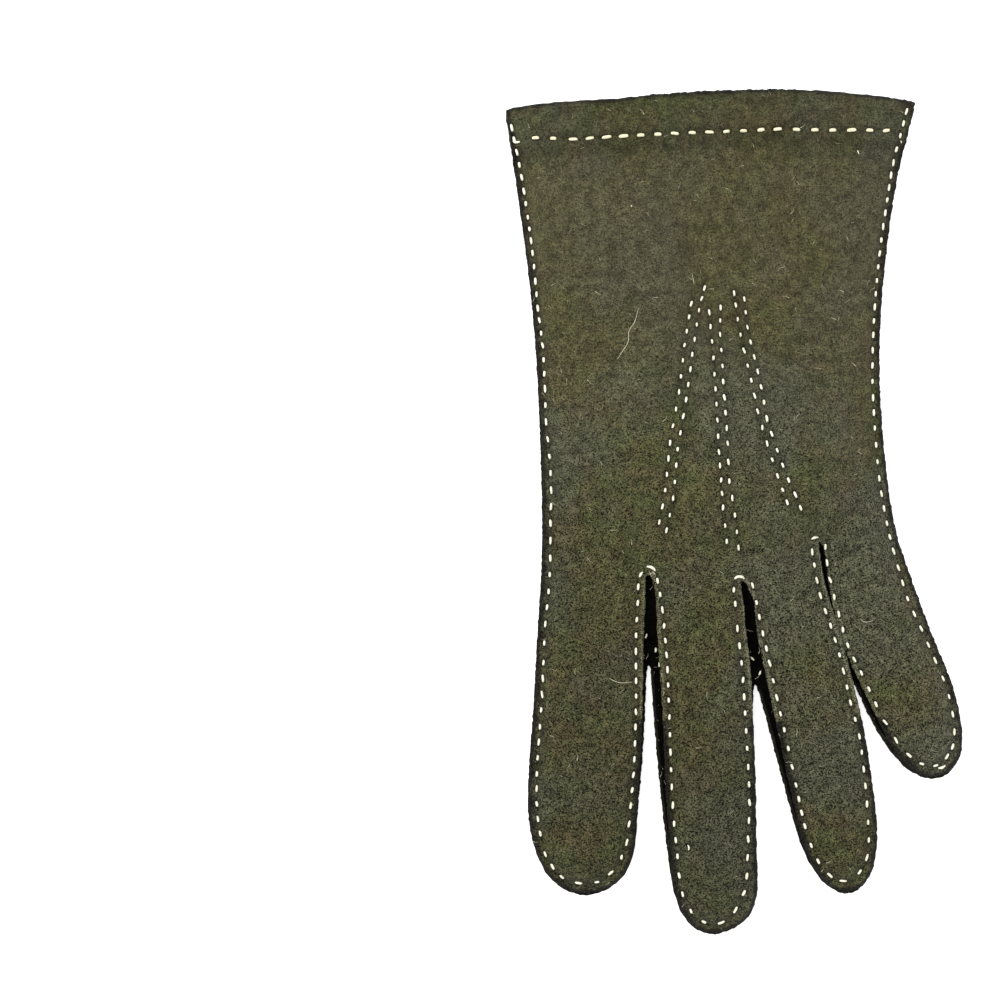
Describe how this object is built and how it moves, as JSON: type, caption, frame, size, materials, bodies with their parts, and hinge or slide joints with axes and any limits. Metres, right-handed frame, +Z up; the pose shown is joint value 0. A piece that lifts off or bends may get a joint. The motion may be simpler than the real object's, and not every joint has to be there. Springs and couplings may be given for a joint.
{
  "type": "fabric driving glove",
  "caption": "Short left-hand dress driving glove of dark brushed cotton, with contrast running-stitched outseams and points, lying palm down with its thumb folded under.",
  "frame": {"origin": "bottom centre of the glove's bounding box, on the surface that it lies on", "axes": "+Y from the fingers towards the cuff, +Z up out of the back of the hand, +X towards the little finger"},
  "size_m": [0.1184, 0.2176, 0.0155],
  "materials": {
    "glove_cloth": "brushed matt woven cotton",
    "fourchette_cloth": "the same cotton, its cut edges near black"
  },
  "bodies": {
    "root": {"back_panel": "glove_cloth", "palm_panel": "glove_cloth", "fourchette_index_middle": "fourchette_cloth", "fourchette_middle_ring": "fourchette_cloth", "fourchette_ring_little": "fourchette_cloth", "thumb": "glove_cloth"}
  },
  "joints": []
}
